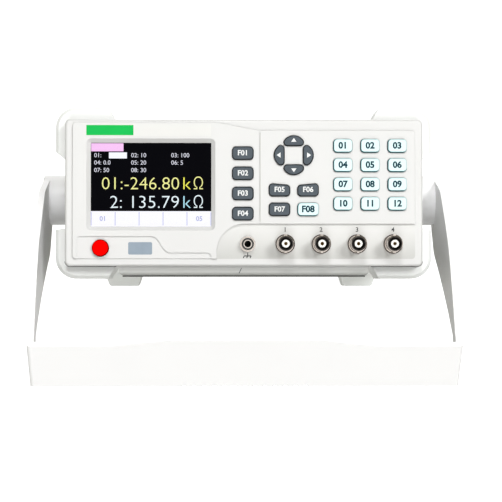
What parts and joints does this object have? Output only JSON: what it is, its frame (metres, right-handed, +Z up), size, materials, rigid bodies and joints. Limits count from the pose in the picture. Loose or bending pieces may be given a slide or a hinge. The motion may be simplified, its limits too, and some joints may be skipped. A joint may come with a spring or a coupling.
{
  "type": "component tester",
  "caption": "Bench component tester: flat metal case with corner bumpers, a front with screen, keys and coaxial jacks, leaning back on its swing-down carrying handle.",
  "frame": {"origin": "centre of the standing instrument's box, on the table", "axes": "+Z up, -Y the way the front panel faces, +X to the right of someone looking at the front"},
  "size_m": [0.2612, 0.4144, 0.1599],
  "materials": {
    "bezel_plastic": "fine moulded satin",
    "bumper_plastic": "fine moulded satin",
    "handle_plastic": "fine moulded satin",
    "case_paint": "fine texture paint",
    "screen_window": "gloss",
    "screen_module": "gloss black",
    "dark_key": "satin",
    "white_key": "satin",
    "red_plastic": "gloss",
    "grey_blue_plastic": "satin",
    "rubber": "matt",
    "circuit_board": "satin",
    "black_plastic": "satin",
    "nickel_plate": "polished nickel",
    "white_insulator": "satin",
    "brass": "gold flash",
    "steel": "zinc plated",
    "transformer_core": "varnished"
  },
  "bodies": {
    "case": {"chassis_tray": "case_paint", "coaxial_jack_1": "nickel_plate", "coaxial_jack_2": "nickel_plate", "coaxial_jack_3": "nickel_plate", "coaxial_jack_4": "nickel_plate", "display_module": "screen_module", "display_window": "screen_window", "front_bezel": "bezel_plastic", "front_bumper_left": "bumper_plastic", "front_bumper_right": "bumper_plastic", "front_port": "nickel_plate", "fuse_holder": "black_plastic", "ground_terminal": "nickel_plate", "jack_contacts": "brass", "jack_insulators": "white_insulator", "jack_nuts": "nickel_plate", "key_board": "circuit_board", "key_mat": "rubber", "main_board": "circuit_board", "mains_transformer": "transformer_core", "pivot_boss_left": "bumper_plastic", "pivot_boss_right": "bumper_plastic", "pivot_screws": "steel", "port_cover": "grey_blue_plastic", "power_inlet": "black_plastic", "power_switch": "black_plastic", "rear_bumper_left": "bumper_plastic", "rear_bumper_right": "bumper_plastic", "rear_panel": "case_paint", "rear_screws": "steel", "serial_port": "nickel_plate", "top_cover": "case_paint"},
    "handle": {"handle": "handle_plastic", "hub_cap_left": "handle_plastic", "hub_cap_right": "handle_plastic"},
    "power_button": {"power_button": "red_plastic"},
    "soft_key_1": {"soft_key_1": "dark_key"},
    "soft_key_2": {"soft_key_2": "dark_key"},
    "soft_key_3": {"soft_key_3": "dark_key"},
    "soft_key_4": {"soft_key_4": "dark_key"},
    "arrow_key_up": {"arrow_key_up": "dark_key"},
    "arrow_key_left": {"arrow_key_left": "dark_key"},
    "arrow_key_down": {"arrow_key_down": "dark_key"},
    "arrow_key_right": {"arrow_key_right": "dark_key"},
    "action_key_1": {"action_key_1": "dark_key"},
    "action_key_2": {"action_key_2": "dark_key"},
    "action_key_3": {"action_key_3": "dark_key"},
    "action_key_4": {"action_key_4": "white_key"},
    "pad_key_1": {"pad_key_1": "white_key"},
    "pad_key_2": {"pad_key_2": "white_key"},
    "pad_key_3": {"pad_key_3": "white_key"},
    "pad_key_4": {"pad_key_4": "white_key"},
    "pad_key_5": {"pad_key_5": "white_key"},
    "pad_key_6": {"pad_key_6": "white_key"},
    "pad_key_7": {"pad_key_7": "white_key"},
    "pad_key_8": {"pad_key_8": "white_key"},
    "pad_key_9": {"pad_key_9": "white_key"},
    "pad_key_10": {"pad_key_10": "white_key"},
    "pad_key_11": {"pad_key_11": "white_key"},
    "pad_key_12": {"pad_key_12": "white_key"}
  },
  "joints": [
    {"name": "handle_swing", "type": "hinge", "parent": "case", "child": "handle", "pos_m": [0, -0.05691, 0.0946], "axis": [1, 0, 0], "range_deg": [-195, 105]},
    {"name": "power_push", "type": "slide", "parent": "case", "child": "power_button", "axis": [0, 0.9856, -0.1691], "range_m": [0, 0.003], "stiffness_N_per_m": 600},
    {"name": "soft_key_1_press", "type": "slide", "parent": "case", "child": "soft_key_1", "axis": [0, 0.9856, -0.1691], "range_m": [0, 0.001], "stiffness_N_per_m": 800},
    {"name": "soft_key_2_press", "type": "slide", "parent": "case", "child": "soft_key_2", "axis": [0, 0.9856, -0.1691], "range_m": [0, 0.001], "stiffness_N_per_m": 800},
    {"name": "soft_key_3_press", "type": "slide", "parent": "case", "child": "soft_key_3", "axis": [0, 0.9856, -0.1691], "range_m": [0, 0.001], "stiffness_N_per_m": 800},
    {"name": "soft_key_4_press", "type": "slide", "parent": "case", "child": "soft_key_4", "axis": [0, 0.9856, -0.1691], "range_m": [0, 0.001], "stiffness_N_per_m": 800},
    {"name": "arrow_key_up_press", "type": "slide", "parent": "case", "child": "arrow_key_up", "axis": [0, 0.9856, -0.1691], "range_m": [0, 0.001], "stiffness_N_per_m": 800},
    {"name": "arrow_key_left_press", "type": "slide", "parent": "case", "child": "arrow_key_left", "axis": [0, 0.9856, -0.1691], "range_m": [0, 0.001], "stiffness_N_per_m": 800},
    {"name": "arrow_key_down_press", "type": "slide", "parent": "case", "child": "arrow_key_down", "axis": [0, 0.9856, -0.1691], "range_m": [0, 0.001], "stiffness_N_per_m": 800},
    {"name": "arrow_key_right_press", "type": "slide", "parent": "case", "child": "arrow_key_right", "axis": [0, 0.9856, -0.1691], "range_m": [0, 0.001], "stiffness_N_per_m": 800},
    {"name": "action_key_1_press", "type": "slide", "parent": "case", "child": "action_key_1", "axis": [0, 0.9856, -0.1691], "range_m": [0, 0.001], "stiffness_N_per_m": 800},
    {"name": "action_key_2_press", "type": "slide", "parent": "case", "child": "action_key_2", "axis": [0, 0.9856, -0.1691], "range_m": [0, 0.001], "stiffness_N_per_m": 800},
    {"name": "action_key_3_press", "type": "slide", "parent": "case", "child": "action_key_3", "axis": [0, 0.9856, -0.1691], "range_m": [0, 0.001], "stiffness_N_per_m": 800},
    {"name": "action_key_4_press", "type": "slide", "parent": "case", "child": "action_key_4", "axis": [0, 0.9856, -0.1691], "range_m": [0, 0.001], "stiffness_N_per_m": 800},
    {"name": "pad_key_1_press", "type": "slide", "parent": "case", "child": "pad_key_1", "axis": [0, 0.9856, -0.1691], "range_m": [0, 0.001], "stiffness_N_per_m": 800},
    {"name": "pad_key_2_press", "type": "slide", "parent": "case", "child": "pad_key_2", "axis": [0, 0.9856, -0.1691], "range_m": [0, 0.001], "stiffness_N_per_m": 800},
    {"name": "pad_key_3_press", "type": "slide", "parent": "case", "child": "pad_key_3", "axis": [0, 0.9856, -0.1691], "range_m": [0, 0.001], "stiffness_N_per_m": 800},
    {"name": "pad_key_4_press", "type": "slide", "parent": "case", "child": "pad_key_4", "axis": [0, 0.9856, -0.1691], "range_m": [0, 0.001], "stiffness_N_per_m": 800},
    {"name": "pad_key_5_press", "type": "slide", "parent": "case", "child": "pad_key_5", "axis": [0, 0.9856, -0.1691], "range_m": [0, 0.001], "stiffness_N_per_m": 800},
    {"name": "pad_key_6_press", "type": "slide", "parent": "case", "child": "pad_key_6", "axis": [0, 0.9856, -0.1691], "range_m": [0, 0.001], "stiffness_N_per_m": 800},
    {"name": "pad_key_7_press", "type": "slide", "parent": "case", "child": "pad_key_7", "axis": [0, 0.9856, -0.1691], "range_m": [0, 0.001], "stiffness_N_per_m": 800},
    {"name": "pad_key_8_press", "type": "slide", "parent": "case", "child": "pad_key_8", "axis": [0, 0.9856, -0.1691], "range_m": [0, 0.001], "stiffness_N_per_m": 800},
    {"name": "pad_key_9_press", "type": "slide", "parent": "case", "child": "pad_key_9", "axis": [0, 0.9856, -0.1691], "range_m": [0, 0.001], "stiffness_N_per_m": 800},
    {"name": "pad_key_10_press", "type": "slide", "parent": "case", "child": "pad_key_10", "axis": [0, 0.9856, -0.1691], "range_m": [0, 0.001], "stiffness_N_per_m": 800},
    {"name": "pad_key_11_press", "type": "slide", "parent": "case", "child": "pad_key_11", "axis": [0, 0.9856, -0.1691], "range_m": [0, 0.001], "stiffness_N_per_m": 800},
    {"name": "pad_key_12_press", "type": "slide", "parent": "case", "child": "pad_key_12", "axis": [0, 0.9856, -0.1691], "range_m": [0, 0.001], "stiffness_N_per_m": 800}
  ]
}
